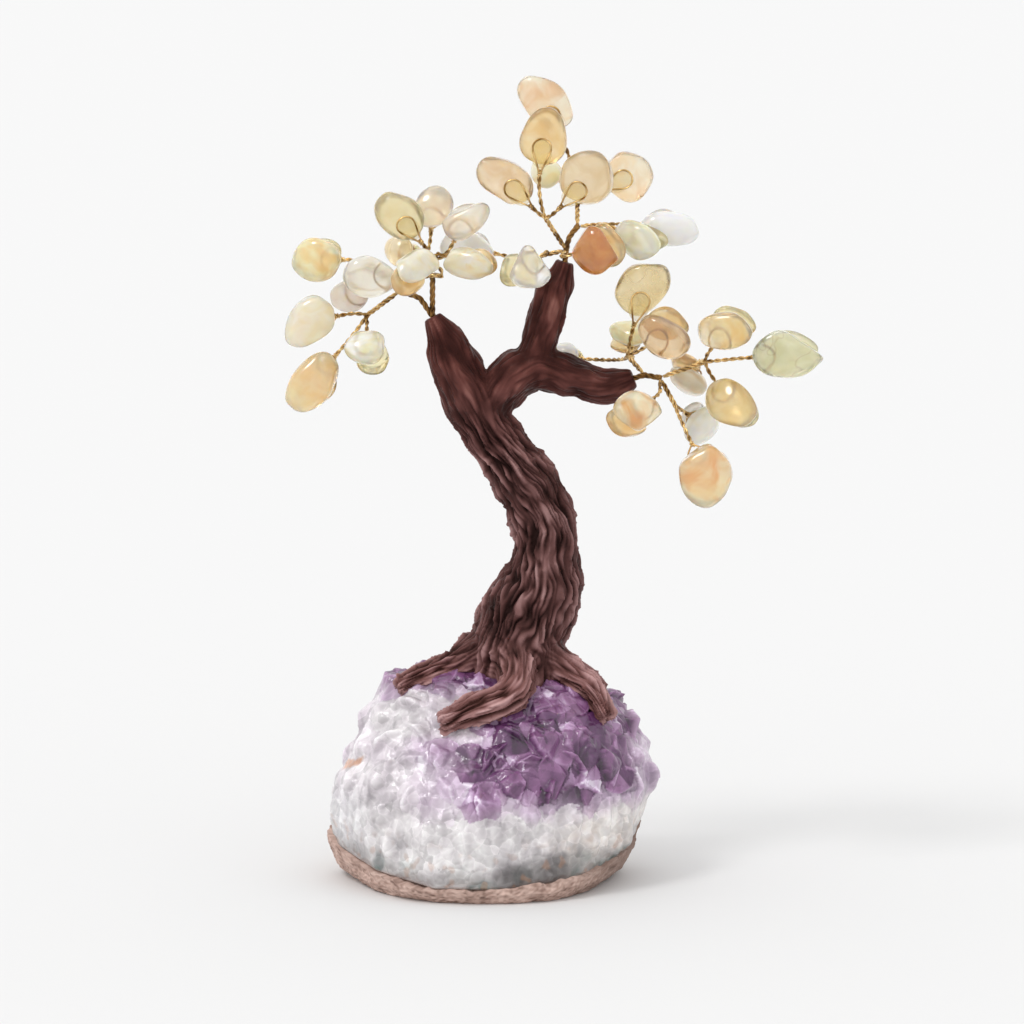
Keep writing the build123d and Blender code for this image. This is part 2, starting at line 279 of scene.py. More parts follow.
def toward(colours, code, amount):
    # Mixes colours toward one hex colour.
    return colours * (1 - amount[:, None]) + np.array(linear(code)[:3]) * amount[:, None]


# Tree layout, the same points as the CAD part, in mm.
trunkLine = [
    (5.5, 0, 40, 20), (5.5, 0, 48.5, 18.6), (8, 0, 55, 18), (10.5, 0, 60.5, 16.2), (11.2, 0, 66, 13.6),
    (11, 0, 71, 12.6), (9.5, 0, 76, 12.6), (7, 0, 81, 12), (3.5, 0, 86, 11), (0, 0, 91, 10.8),
    (-3.2, 0, 96.5, 11), (-6.2, 0, 102.5, 10), (-8.2, 0, 107.5, 8.8), (-9.8, 0, 111, 6.4),
    (-11.5, 0, 114.2, 3.6),
]
rightLine = [
    (-0.5, 0, 93, 7), (1.6, 0, 98.6, 8.6), (5, 0, 102.6, 9.8), (9.5, 0, 104, 9.4), (13.4, 0, 103, 8.8),
    (17.7, 0, 101.7, 7.6), (21.8, 0, 100.3, 7.1), (25, 0, 100.6, 6.4), (27.4, 0, 101.3, 5),
    (28.8, 0, 101.8, 3.8),
]
topLine = [
    (7.2, 0, 102.5, 7), (8.8, 0, 106.5, 8), (10.2, 0, 110.5, 7.6), (11.6, 0, 115, 7.5), (13, 0, 119.6, 6.9),
    (14.4, 0, 123, 4.8), (15, 0, 125.2, 3.6),
]
rootLines = [
    [(2, 0, 48, 11), (-8, -2, 43.5, 6.4), (-14, -4, 41.5, 5.2), (-18.5, -6, 39.6, 3.4)],
    [(4, -3, 48, 11), (5.2, -10.5, 42.6, 8), (3, -15, 39, 7.2), (-3.5, -17, 37.2, 6.2), (-9.5, -18, 35, 3.6)],
    [(8, -1, 48, 11), (16, -5, 42.4, 6.4), (20.5, -8.5, 39.2, 5.2), (23, -12.5, 35.2, 3.4)],
    [(8, 2, 48, 11), (15, 6, 42.2, 6), (20, 9, 38.6, 4.4), (22.5, 11, 36, 3)],
    [(3, 3, 48, 11), (-3, 9, 42.2, 6), (-8, 13, 39, 4.4), (-11, 15, 36.6, 3)],
]
leftExit = (-11.5, 0, 114.2)
leftEnd = (-18, -1, 119.5)
leftHighEnd = (-11.5, 1, 122.5)
topExit = (15, 0, 125.2)
topEnd = (15.2, 0, 127.6)
topHighEnd = (17.5, 3, 132)
rightExit = (28.8, 0, 101.8)
rightEnd = (31, 0, 102.4)
rightFarEnd = (34, -1, 102)
prongs = {
    "left": [[(-10.2, 0, 111), leftExit, (-14, 0, 118), leftEnd], [(-10.2, 0, 111), leftExit, leftHighEnd]],
    "top": [[(14.5, 0, 123), topExit, topEnd], [topEnd, (15.8, 1.5, 130), topHighEnd]],
    "right": [[(26, 0, 101), rightExit, rightEnd], [rightEnd, rightFarEnd]],
}
twigs = {
    "left_low": (leftEnd, (-24.5, -4, 115)),
    "left_mid": (leftEnd, (-20.5, 3.5, 121.5)),
    "left_high": (leftHighEnd, (-13.5, 4, 124.8)),
    "left_right": (leftHighEnd, (-10.6, 1, 125.8)),
    "left_front": (leftHighEnd, (-9.7, -6.5, 123.2)),
    "top_left": (topEnd, (11, -4, 134.5)),
    "top_right": (topHighEnd, (17.5, 6.5, 136)),
    "top_far": (topHighEnd, (22.5, 2, 132.5)),
    "top_low": (topEnd, (11.2, -1, 126.8)),
    "top_front": (topEnd, (14.2, -4, 126.8)),
    "right_up": (rightEnd, (27.5, -2, 106.5)),
    "right_far": (rightFarEnd, (43, -1, 105.2)),
    "right_down": (rightFarEnd, (37, -1, 96.5)),
    "right_front": (rightFarEnd, (34, -5.5, 100)),
}
# Centre, stem aim, chip axis, lean, roll, length, width, taper, and 1 where the loop shows on the front.
leaves = {
    "left_low_1": ((-36, -5, 114), 190, 222, 0, 0, 13.4, 8.6, 0.1, 0),
    "left_low_2": ((-35.5, -7, 102), 228, 228, 5, 0, 14, 9.2, 0.1, 0),
    "left_low_3": ((-24.5, -10.5, 108.5), 270, 180, 45, 0, 9, 8.4, 0.05, 0),
    "left_mid_1": ((-34.5, 7, 125), 180, 180, -15, 0, 11.6, 8.8, 0.1, 0),
    "left_mid_2": ((-28, 9, 117.5), 205, 200, -20, 0, 8.6, 6.4, 0.1, 0),
    "left_high_1": ((-17.8, -1, 133.8), 130, 130, 20, 0, 11.6, 9.6, 0.05, 1),
    "left_high_2": ((-11.5, 9.5, 134.6), 85, 80, -25, 0, 9.6, 7.6, 0.1, 0),
    "left_high_3": ((-17, 10, 126), 170, 160, -50, 0, 8, 6, 0.1, 0),
    "left_right_1": ((-4.8, 0, 133.5), 60, 27, -5, 0, 11.2, 6.6, 0.1, 0),
    "left_right_2": ((-3.7, -3.5, 125.2), 345, 355, 22, 0, 11, 6.8, 0.1, 0),
    "left_front_1": ((-15.5, -14, 125), 180, 200, 48, 40, 13.4, 8, 0.05, 0),
    "left_front_2": ((-24, -7, 123.5), 178, 170, 5, 0, 11.2, 8.8, -0.1, 0),
    "top_left_1": ((10.5, -6, 150.5), 85, 85, 5, 0, 11.8, 10.4, 0.05, 1),
    "top_left_2": ((3, -4, 142), 135, 148, 0, 0, 13.6, 8.6, 0.1, 1),
    "top_left_3": ((19, -9, 142), 45, 50, 15, 0, 13.4, 10.8, -0.05, 1),
    "top_right_1": ((11, 5, 156.5), 115, 128, 0, 0, 14.4, 9, 0.1, 1),
    "top_right_2": ((27.6, 6.5, 141.5), 25, 0, 0, 0, 10.8, 10.6, 0.05, 1),
    "top_right_3": ((11.5, 10, 142), 150, 150, -15, 0, 7.4, 5.6, 0.1, 0),
    "top_far_1": ((30, -2, 130.5), 345, 352, 30, 30, 12, 8, 0.1, 0),
    "top_far_2": ((35.5, 7.5, 131), 352, 348, -20, 0, 12.8, 7.6, 0.1, 0),
    "top_low_1": ((6.9, -7.5, 124.6), 215, 90, 40, 0, 10, 10.4, 0.25, 0),
    "top_low_2": ((-4, 9, 127), 170, 180, -25, 0, 12.4, 8.4, 0.1, 0),
    "top_front_1": ((21.5, -9.5, 129.4), 20, 105, 30, 0, 11, 11, 0.28, 0),
    "right_up_1": ((30.6, -3.5, 119.8), 75, 52, 5, 0, 12.8, 11, 0.05, 1),
    "right_up_2": ((35.4, -8, 111.8), 35, 350, 30, 0, 12.2, 8.6, 0.1, 0),
    "right_up_3": ((28.2, 9, 108.6), 100, 165, -60, 0, 9, 6, 0.1, 0),
    "right_up_4": ((15.5, 12.5, 104.2), 180, 185, -25, 0, 8, 6.4, 0.1, 0),
    "right_far_1": ((47.5, -5, 112.8), 55, 12, 22, 0, 12.6, 8.4, 0.1, 0),
    "right_far_2": ((59.5, -3, 107), 5, 354, 0, 0, 15.6, 9.6, 0.18, 0),
    "right_far_3": ((48.8, -6, 97.1), 310, 312, 30, 0, 12.8, 8.8, 0.1, 0),
    "right_far_4": ((40.5, 9, 101.5), 250, 290, -60, 0, 9.6, 7.8, 0.05, 0),
    "right_down_1": ((43, -6, 83.5), 295, 282, 5, 0, 14, 11.4, 0.05, 0),
    "right_down_2": ((41.6, 7, 92.2), 320, 280, -45, 0, 8.8, 8, 0.05, 0),
    "right_front_1": ((28, -12.5, 96.5), 207, 170, 40, 0, 12, 8.6, -0.2, 0),
}


def leafFrame(name):
    # Where the stem meets the leaf, and the leaf's own axes: along the stem, sideways and to the front.
    centre, aim, axis, lean, roll, length, width, taper = leaves[name][:8]
    aim, axis, lean = math.radians(aim), math.radians(axis), math.radians(lean)
    along = Vector((math.cos(aim) * math.cos(lean), -math.sin(lean), math.sin(aim) * math.cos(lean)))
    front = Vector((0, -1, 0))
    front = (front - along * front.dot(along)).normalized()
    front = Matrix.Rotation(math.radians(roll), 3, along) @ front
    seed = 1.7 * list(leaves).index(name)
    reach = 0
    for i in range(12):
        t = 2 * math.pi * i / 12
        lobe = 1 + 0.045 * math.sin(2 * t + seed) + 0.03 * math.sin(3 * t + 2.3 * seed)
        x = 0.5 * length * math.cos(t) * lobe
        y = 0.5 * width * math.sin(t) * (1 - taper * math.cos(t)) * lobe
        reach = max(reach, y * math.sin(axis - aim) - x * math.cos(axis - aim))
    reach += 1.3
    base = Vector(centre) - along * reach
    loopLong = min(6.2, reach + 0.3 * length - 0.5)
    return np.array(base), np.array(along), np.array(front.cross(along)), np.array(front), loopLong


print("materials")


stoneLook = {"lift": 1.17, "ease": 0.62, "rimLift": 1.12, "rimEase": 0.85}


def paler(colour, lift, ease):
    return [min(lift * c ** ease, 1.0) for c in colour]


def stoneMaterial(name, tint, cloud, clear, seed, stain=None, vein=0.0):
    # Citrine, tumbled and polished: a cloudy see-through body under a wet gloss, so light glows in it.
    # Clouds are about 5 mm across, stains about 7 mm, and veins thin lines between them.
    # The stone tints light on the way in and again on the way out, so each colour is eased to half its depth.
    material, tree, output = newMaterial(name)
    place = add(tree, "ShaderNodeTexCoord").outputs["Object"]
    shift = (seed * 0.013, seed * 0.007, seed * 0.011)
    moved = add(tree, "ShaderNodeMapping", {"Vector": place, "Location": shift})
    spot = moved.outputs[0]
    clouds = add(tree, "ShaderNodeTexNoise", {"Vector": spot, "Scale": 200, "Detail": 3, "Distortion": 0.8})
    mixed = add(tree, "ShaderNodeValToRGB", {"Fac": clouds.outputs[0]}, stops=[(0.36, tint), (0.64, cloud)])
    for element in mixed.color_ramp.elements:
        element.color = paler(element.color, stoneLook["lift"], stoneLook["ease"])
    colour = mixed.outputs[0]
    if stain:
        spots = add(tree, "ShaderNodeTexNoise", {"Vector": spot, "Scale": 140, "Detail": 2, "Distortion": 1.5})
        where = add(tree, "ShaderNodeValToRGB", {"Fac": spots.outputs[0]},
                    stops=[(0.5, "#000000"), (0.7, "#ffffff")])
        deeper = paler(linear(stain), stoneLook["lift"], stoneLook["ease"])
        blend = add(tree, "ShaderNodeMix", {0: where.outputs[0], 6: colour, 7: deeper}, data_type="RGBA")
        colour = blend.outputs[2]
    if vein:
        lines = add(tree, "ShaderNodeTexNoise", {"Vector": spot, "Scale": 150, "Detail": 2, "Distortion": 0.3})
        thin = add(tree, "ShaderNodeValToRGB", {"Fac": lines.outputs[0]},
                   stops=[(0.48, "#000000"), (0.5, "#ffffff"), (0.52, "#000000")])
        amount = add(tree, "ShaderNodeMath", {0: thin.outputs[0], 1: vein}, operation="MULTIPLY")
        brown = linear("#8a6a50")
        blend = add(tree, "ShaderNodeMix", {0: amount.outputs[0], 6: colour, 7: brown}, data_type="RGBA")
        colour = blend.outputs[2]
    # Painted deeper colour toward the rim, standing in for the light that goes through the stone lengthwise
    # there.
    rim = add(tree, "ShaderNodeAttribute", attribute_name="tone")
    deeper = paler(linear(tint), stoneLook["rimLift"], stoneLook["rimEase"])
    blend = add(tree, "ShaderNodeMix", {0: rim.outputs["Fac"], 6: colour, 7: deeper}, data_type="RGBA")
    colour = blend.outputs[2]
    shader = add(tree, "ShaderNodeBsdfPrincipled", {
        "Base Color": colour, "Roughness": 0.17, "IOR": 1.45, "Transmission Weight": clear,
        "Subsurface Weight": 0.8, "Subsurface Radius": (1.0, 0.8, 0.5), "Subsurface Scale": 0.003,
        "Coat Weight": 1.0, "Coat Roughness": 0.05, "Coat IOR": 1.5,
    })
    tree.links.new(shader.outputs[0], output.inputs["Surface"])
    return material


def wireMaterial(name, dark, light, rough):
    # Copper wire with a gold enamel, twisted by hand: the enamel's colour, with painted highlight and painted
    # shade mixed in small random patches in place of its reflections.
    material, tree, output = newMaterial(name)
    place = add(tree, "ShaderNodeTexCoord").outputs["Object"]
    patches = add(tree, "ShaderNodeTexNoise", {"Vector": place, "Scale": 420, "Detail": 2})
    colour = add(tree, "ShaderNodeValToRGB", {"Fac": patches.outputs[0]}, stops=[(0.35, dark), (0.65, light)])
    shader = add(tree, "ShaderNodeBsdfPrincipled", {
        "Base Color": colour.outputs[0], "Metallic": 1.0, "Roughness": rough,
    })
    tree.links.new(shader.outputs[0], output.inputs["Surface"])
    return material


twigMetal = wireMaterial("Gold enamelled copper wire, twisted", "#84602e", "#f0d096", 0.2)
prongMetal = wireMaterial("Copper wire, wound and dulled by glue", "#553b22", "#a07a48", 0.3)

# Clear two-part glue, set as a thin drop: a wet, faintly yellow film that lets the stone and loop show.
glue, tree, output = newMaterial("Epoxy glue, set clear")
shader = add(tree, "ShaderNodeBsdfPrincipled", {
    "Base Color": linear("#ecd27c"), "Roughness": 0.1, "IOR": 1.5, "Alpha": 0.26,
})
tree.links.new(shader.outputs[0], output.inputs["Surface"])

# Resin putty, tooled with a point and varnished: dark reddish brown, with painted shade in the creases, painted
# reddish highlight on the ridges and lumps, and small sharp glints.
putty, tree, output = newMaterial("Resin putty, tooled and varnished")
tone = add(tree, "ShaderNodeAttribute", attribute_name="tone")
place = add(tree, "ShaderNodeTexCoord").outputs["Object"]
fine = add(tree, "ShaderNodeTexNoise", {"Vector": place, "Scale": 1500, "Detail": 3})
bump = add(tree, "ShaderNodeBump", {"Height": fine.outputs[0], "Strength": 0.6, "Distance": 0.0002})
shader = add(tree, "ShaderNodeBsdfPrincipled", {
    "Base Color": tone.outputs["Color"], "Roughness": 0.38, "Normal": bump.outputs[0],
    "Specular IOR Level": 0.12, "Specular Tint": linear("#e0b4aa"),
})
tree.links.new(shader.outputs[0], output.inputs["Surface"])

# Raw crystal under a clear sealer: glassy faces over a coloured, slightly milky body.
crystal, tree, output = newMaterial("Amethyst and quartz, natural crystal faces")
tone = add(tree, "ShaderNodeAttribute", attribute_name="tone")
place = add(tree, "ShaderNodeTexCoord").outputs["Object"]
fine = add(tree, "ShaderNodeTexNoise", {"Vector": place, "Scale": 700, "Detail": 3})
shift = add(tree, "ShaderNodeVectorMath", {0: fine.outputs["Color"], 1: (0.0012, 0.0012, 0.0012)},
            operation="MULTIPLY")
warped = add(tree, "ShaderNodeVectorMath", {0: place, 1: shift.outputs[0]}, operation="ADD").outputs[0]
grains = add(tree, "ShaderNodeTexVoronoi", {"Vector": warped, "Scale": 450})
lines = add(tree, "ShaderNodeTexVoronoi", {"Vector": warped, "Scale": 450}, feature="DISTANCE_TO_EDGE")
grainTone = add(tree, "ShaderNodeMapRange", {"Value": grains.outputs["Color"], "To Min": 0.76, "To Max": 1.18})
frost = add(tree, "ShaderNodeMapRange", {"Value": lines.outputs["Distance"], "From Max": 0.14, "To Min": 0.1,
                                         "To Max": 0.0})
level = add(tree, "ShaderNodeMath", {0: grainTone.outputs[0], 1: frost.outputs[0]}, operation="ADD")
varied = add(tree, "ShaderNodeVectorMath", {0: tone.outputs["Color"], "Scale": level.outputs[0]},
             operation="SCALE")
rounded = add(tree, "ShaderNodeMapRange", {"Value": lines.outputs["Distance"], "From Max": 0.3})
bump = add(tree, "ShaderNodeBump", {"Height": rounded.outputs[0], "Strength": 0.35, "Distance": 0.0003})
bump = add(tree, "ShaderNodeBump", {"Height": fine.outputs[0], "Strength": 0.3, "Distance": 0.0002,
                                    "Normal": bump.outputs[0]})
shader = add(tree, "ShaderNodeBsdfPrincipled", {
    "Base Color": varied.outputs[0], "Roughness": 0.3, "IOR": 1.5,
    "Subsurface Weight": 0.35, "Subsurface Radius": (1.0, 0.9, 1.0), "Subsurface Scale": 0.001,
    "Coat Weight": 0.6, "Coat Roughness": 0.06, "Normal": bump.outputs[0], "Coat Normal": bump.outputs[0],
})
tree.links.new(shader.outputs[0], output.inputs["Surface"])

# Basalt skin, broken and ground: dull, grainy, pinkish brown with grey pits.
basalt, tree, output = newMaterial("Basalt rind, broken and ground")
tone = add(tree, "ShaderNodeAttribute", attribute_name="tone")
place = add(tree, "ShaderNodeTexCoord").outputs["Object"]
fine = add(tree, "ShaderNodeTexNoise", {"Vector": place, "Scale": 1400, "Detail": 4})
bump = add(tree, "ShaderNodeBump", {"Height": fine.outputs[0], "Strength": 0.8, "Distance": 0.0003})
shader = add(tree, "ShaderNodeBsdfPrincipled", {
    "Base Color": tone.outputs["Color"], "Roughness": 0.85, "Normal": bump.outputs[0],
})
tree.links.new(shader.outputs[0], output.inputs["Surface"])

print("leaves")
# Chip colours as they look: stone, clouds in it, how clear it is, the back chip's stone, stains or veins.
chips = {
    "left_low_1": {"tint": "#f0d2aa", "cloud": "#f7e8d8", "clear": 0.6, "back": "honey"},
    "left_low_2": {"tint": "#deba80", "cloud": "#ecd8b4", "clear": 0.75, "back": "honey"},
    "left_low_3": {"tint": "#ecd9b4", "cloud": "#f4ebdf", "clear": 0.65, "back": "straw", "stain": "#ecc884"},
    "left_mid_1": {"tint": "#ecc890", "cloud": "#f4e0c0", "clear": 0.6, "back": "straw", "stain": "#e8b06a"},
    "left_mid_2": {"tint": "#cdb6a4", "cloud": "#e4d6ca", "clear": 0.65, "back": "milk"},
    "left_high_1": {"tint": "#cfb878", "cloud": "#e2d29e", "clear": 0.8, "back": "straw"},
    "left_high_2": {"tint": "#dcc4b4", "cloud": "#eeded2", "clear": 0.8, "back": "straw"},
    "left_high_3": {"tint": "#ccaa68", "cloud": "#dcc294", "clear": 0.85, "back": "straw"},
    "left_right_1": {"tint": "#e6ccb4", "cloud": "#f0e3d8", "clear": 0.75, "back": "milk", "stain": "#e2b98c"},
    "left_right_2": {"tint": "#eecfa2", "cloud": "#f7e8d8", "clear": 0.55, "back": "honey", "stain": "#e8b878"},
    "left_front_1": {"tint": "#e9cda8", "cloud": "#f2e3d4", "clear": 0.5, "back": "honey", "stain": "#eec890"},
    "left_front_2": {"tint": "#e0d7be", "cloud": "#f2ede2", "clear": 0.9, "back": "milk"},
    "top_left_1": {"tint": "#d0a050", "cloud": "#e2c48c", "clear": 0.8, "back": "straw"},
    "top_left_2": {"tint": "#c4985e", "cloud": "#d8bf98", "clear": 0.8, "back": "straw", "stain": "#deb06c"},
    "top_left_3": {"tint": "#c2a06a", "cloud": "#d6bd90", "clear": 0.8, "back": "straw"},
    "top_right_1": {"tint": "#debd92", "cloud": "#eedcc0", "clear": 0.8, "back": "straw", "stain": "#cc945c"},
    "top_right_2": {"tint": "#e2b880", "cloud": "#efd8b8", "clear": 0.85, "back": "straw", "stain": "#dc985e"},
    "top_right_3": {"tint": "#f2c07c", "cloud": "#f8dcb8", "clear": 0.22, "back": "honey", "stain": "#d89a5c"},
    "top_far_1": {"tint": "#f0e0b0", "cloud": "#f8f0d8", "clear": 0.5, "back": "straw"},
    "top_far_2": {"tint": "#f4eee6", "cloud": "#fbf9f6", "clear": 0.35, "back": "milk"},
    "top_low_1": {"tint": "#e8dab8", "cloud": "#f8f2e6", "clear": 0.8, "back": "straw"},
    "top_low_2": {"tint": "#f2e4d0", "cloud": "#faf4ec", "clear": 0.28, "back": "milk"},
    "top_front_1": {"tint": "#a85410", "cloud": "#c07c34", "clear": 0.6, "back": "honey", "stain": "#a85c24"},
    "right_up_1": {"tint": "#bea05c", "cloud": "#d4bc84", "clear": 0.85, "back": "straw", "vein": 0.25},
    "right_up_2": {"tint": "#b8905a", "cloud": "#caa878", "clear": 0.85, "back": "honey"},
    "right_up_3": {"tint": "#f0c88c", "cloud": "#f8e4bc", "clear": 0.28, "back": "honey"},
    "right_up_4": {"tint": "#f0e0d0", "cloud": "#faf2ea", "clear": 0.22, "back": "straw"},
    "right_far_1": {"tint": "#d6b47a", "cloud": "#e8d4b0", "clear": 0.8, "back": "straw", "stain": "#dba858"},
    "right_far_2": {"tint": "#c0c096", "cloud": "#dedac4", "clear": 0.8, "back": "jade", "vein": 0.3},
    "right_far_3": {"tint": "#c8a45c", "cloud": "#dcc490", "clear": 0.75, "back": "straw"},
    "right_far_4": {"tint": "#d8b890", "cloud": "#ecd8bc", "clear": 0.5, "back": "honey"},
    "right_down_1": {"tint": "#e6be8a", "cloud": "#f4dcba", "clear": 0.65, "back": "honey", "stain": "#d89a60"},
    "right_down_2": {"tint": "#e2d8c0", "cloud": "#f2ecdf", "clear": 0.28, "back": "milk"},
    "right_front_1": {"tint": "#e2bc84", "cloud": "#f0dcb8", "clear": 0.65, "back": "honey", "stain": "#d08c48"},
}
backStones = {
    "honey": stoneMaterial("Citrine, tumbled, honey back chips", "#dfa352", "#eecb90", 0.75, 71),
    "straw": stoneMaterial("Citrine, tumbled, straw back chips", "#e6c982", "#f2e0b4", 0.8, 72),
    "milk": stoneMaterial("Citrine, tumbled, milky back chips", "#e8d6be", "#f4eade", 0.8, 73),
    "jade": stoneMaterial("Citrine, tumbled, greenish back chips", "#c2bc86", "#dcd6ae", 0.75, 74),
}
chipShape = {"detail": 4, "flats": 8, "wobble": 0.55, "wobbleScale": 6.0,
             "ease": 6}

# Large broken sides of some chips: the way they face in the front view, in degrees, and how deep they cut.
chipCuts = {
    "left_low_1": [(0, 0.84), (180, 0.92)],
    "left_low_3": [(0, 0.86), (95, 0.86)],
    "left_front_1": [(115, 0.66), (295, 0.66)],
    "left_right_1": [(115, 0.86)],
    "top_low_1": [(150, 0.7), (32, 0.7), (265, 0.85)],
    "top_front_1": [(150, 0.74), (32, 0.74)],
    "top_left_2": [(60, 0.86), (235, 0.86)],
    "right_far_2": [(52, 0.78), (306, 0.8)],
    "right_down_1": [(130, 0.82), (45, 0.82)],
    "right_front_1": [(230, 0.8), (310, 0.84)],
}


def unitSphere(detail):
    bm = bmesh.new()
    bmesh.ops.create_icosphere(bm, subdivisions=detail, radius=1.0)
    verts = np.array([v.co for v in bm.verts])
    faces = [[v.index for v in f.verts] for f in bm.faces]
    edges = np.array([[v.index for v in e.verts] for e in bm.edges])
    bm.free()
    return verts, faces, edges


sphereVerts, sphereFaces, sphereEdges = unitSphere(chipShape["detail"])


def eased(verts, passes, edges):
    # Values at mesh points, each pulled halfway to the mean of its neighbours.
    count = np.bincount(edges.ravel(), minlength=len(verts))[:, None]
    for _ in range(passes):
        total = np.zeros_like(verts)
        for column in range(verts.shape[1]):
            total[:, column] += np.bincount(edges[:, 0], verts[edges[:, 1], column], len(verts))
            total[:, column] += np.bincount(edges[:, 1], verts[edges[:, 0], column], len(verts))
        verts = 0.5 * verts + 0.5 * total / count
    return verts


def tumbledChip(solid, axes, seed, cuts=()):
    # The CAD chip as an even round mesh, with the flats and dents that a broken, tumbled stone keeps.
    verts, faces = solid
    axes = np.array(axes)
    centre = (verts.max(0) + verts.min(0)) / 2
    tree = BVHTree.FromPolygons([tuple(v) for v in verts], faces)
    half = np.abs((verts - centre) @ axes.T).max(0)
    points = []
    for ray in sphereVerts:
        way = Vector((ray * half) @ axes).normalized()
        hit = tree.ray_cast(Vector(centre), way)[0]
        points.append(hit if hit else Vector(centre))
    points = np.array(points)
    rng = np.random.default_rng(seed)
    flats = []
    for _ in range(chipShape["flats"]):
        turn = rng.uniform(0, 2 * math.pi)
        way = np.array([math.cos(turn), math.sin(turn), rng.uniform(-0.9, 0.9)]) @ axes
        flats.append((way / np.linalg.norm(way), rng.uniform(0.8, 0.95)))
    for turn, share in cuts:
        flats.append((np.array([math.cos(math.radians(turn)), 0, math.sin(math.radians(turn))]), share))
    for way, share in flats:
        far = (points - centre) @ way
        over = np.clip(far - far.max() * share, 0, None)
        points = points - over[:, None] * way
    points = eased(points, chipShape["ease"], sphereEdges)
    out = points - centre
    out /= np.linalg.norm(out, axis=1)[:, None]
    dents = noiseAt(points, chipShape["wobbleScale"], seed)
    return points + out * (chipShape["wobble"] * dents + 0.12)[:, None]


def chipObject(name, verts, front, stone):
    # A chip with its rim marked for the painted deeper rim colour: the sides that face away from its own front
    # and back.
    item = meshObject(name, verts * mm, sphereFaces, stone)
    normals = np.zeros(len(verts) * 3)
    item.data.vertices.foreach_get("normal", normals)
    rim = 0.75 * smoothstep(0.45, 1.0, 1 - np.abs(normals.reshape(-1, 3) @ front))
    paint(item, np.repeat(rim[:, None], 3, 1))
    return item


for number, name in enumerate(leaves):
    look = chips[name]
    base, along, side, front, loopLong = leafFrame(name)
    body = name.rsplit("_", 1)[0]
    solids = islands(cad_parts["leaf_" + name])
    shows = leaves[name][8]
    stone = stoneMaterial("Citrine, tumbled, " + name, look["tint"], look["cloud"], look["clear"], number,
                          look.get("stain"), look.get("vein", 0.0))
    points = tumbledChip(solids[0], (along, side, front), number, chipCuts.get(name, ()))
    hang(chipObject("chip_" + name, points, front, stone), body, "leaf_" + name)
    if shows:
        # A drop of glue inside the loop.
        loopRound = 0.34 * loopLong
        drop = sphereVerts * np.array([loopRound * 1.4, loopRound * 0.98, 0.3])
        middle = base + along * (loopLong - loopRound + 0.3)
        drop = middle + drop @ np.array([along, side, front]) - front * 0.15
        hang(meshObject("glue_" + name, drop * mm, sphereFaces, glue), body, "leaf_" + name)
    else:
        points = tumbledChip(solids[1], (along, side, front), number + 100)
        hang(chipObject("chip_back_" + name, points, front, backStones[look["back"]]), body, "leaf_" + name)

print("twigs")
wire = {"strand": 0.22, "pair": 0.22, "pitch": 3.2, "stockPitch": 3.8,
        "collarTurns": 2.2, "rootGap": 0.7, "neck": 1.0, "hiddenNeck": 2.2, "shownReach": 1.2,
        "loop": 0.19, "collar": 0.17, "collarOut": 0.4}


def loopLine(base, along, side, long, bow):
    # Teardrop of single wire, as in the CAD part.
    gap = 0.24
    middle = long - bow
    far = math.hypot(middle, gap)
    lead = math.atan2(-gap, middle) + math.asin(bow / far)
    leg = math.sqrt(far ** 2 - bow ** 2)
    touch = np.array([leg * math.cos(lead), gap + leg * math.sin(lead)])
    start = math.atan2(touch[1], touch[0] - middle)
    turns = np.linspace(start, -start, 28)
    flat = [(0, gap)] + [(middle + bow * math.cos(t), bow * math.sin(t)) for t in turns] + [(0, -gap)]
    return np.array([base + along * x + side * y for x, y in flat])


for name, (end, fork) in twigs.items():
    end = np.array(end, float)
    fork = np.array(fork, float)
    rise = (fork - end) / np.linalg.norm(fork - end)
    own = [leaf for leaf in leaves if leaf.rsplit("_", 1)[0] == name]
    strands = min(2 * len(own), 3)
    spread = wire["pair"] if strands == 2 else 0.3
    pieces = twisted([end + rise * wire["rootGap"], fork + rise * 0.3], strands, spread, wire["strand"],
                     wire["stockPitch"], taper=1.2)
    for leaf in own:
        base, along, side, front, loopLong = leafFrame(leaf)
        reach = wire["neck"] if leaves[leaf][8] else wire["hiddenNeck"]
        neck = base + along * reach
        stem = np.concatenate([resample([neck, base], 0.15)[:-1], arcLine(base, -along, fork)])
        pieces += twisted(stem, 2, wire["pair"], wire["strand"], wire["pitch"], phase=len(pieces))
        reach -= wire["shownReach"] * leaves[leaf][8]
        bend = loopLine(neck - along * 0.2, along, side, loopLong - reach + 0.2, 0.3 * loopLong)
        pieces.append(tube(roundedLine(bend, 0.2, 2), wire["loop"], 8))
        wrap = np.linspace(0, wire["collarTurns"] * 2 * math.pi, 40)
        coil = neck + along * (wrap[:, None] / wrap[-1] - 0.8) + wire["collarOut"] * (
            np.cos(wrap)[:, None] * side + np.sin(wrap)[:, None] * front)
        pieces.append(tube(coil, wire["collar"], 6))
    verts, faces = joined(pieces)
    hang(meshObject("wire_" + name, verts * mm, faces, twigMetal), name, "twig_" + name)

prong = {"offset": 0.3, "strand": 0.3, "pitch": 4.2, "beadOut": 0.48, "bead": 0.18, "beadPitch": 0.8}
for name, lines in prongs.items():
    pieces = []
    for line in lines:
        path = roundedLine(line)
        pieces += twisted(path, 3, prong["offset"], prong["strand"], prong["pitch"])
        heading = path[-1] - path[-4]
        heading /= np.linalg.norm(heading)
        tip = [path[-1] - heading * 0.7, path[-1] + heading * 0.3]
        pieces += twisted(tip, 3, prong["beadOut"], prong["bead"], prong["beadPitch"])
    verts, faces = joined(pieces)
    hang(meshObject("prongs_" + name, verts * mm, faces, prongMetal), "stand", "wire_bundle_" + name)

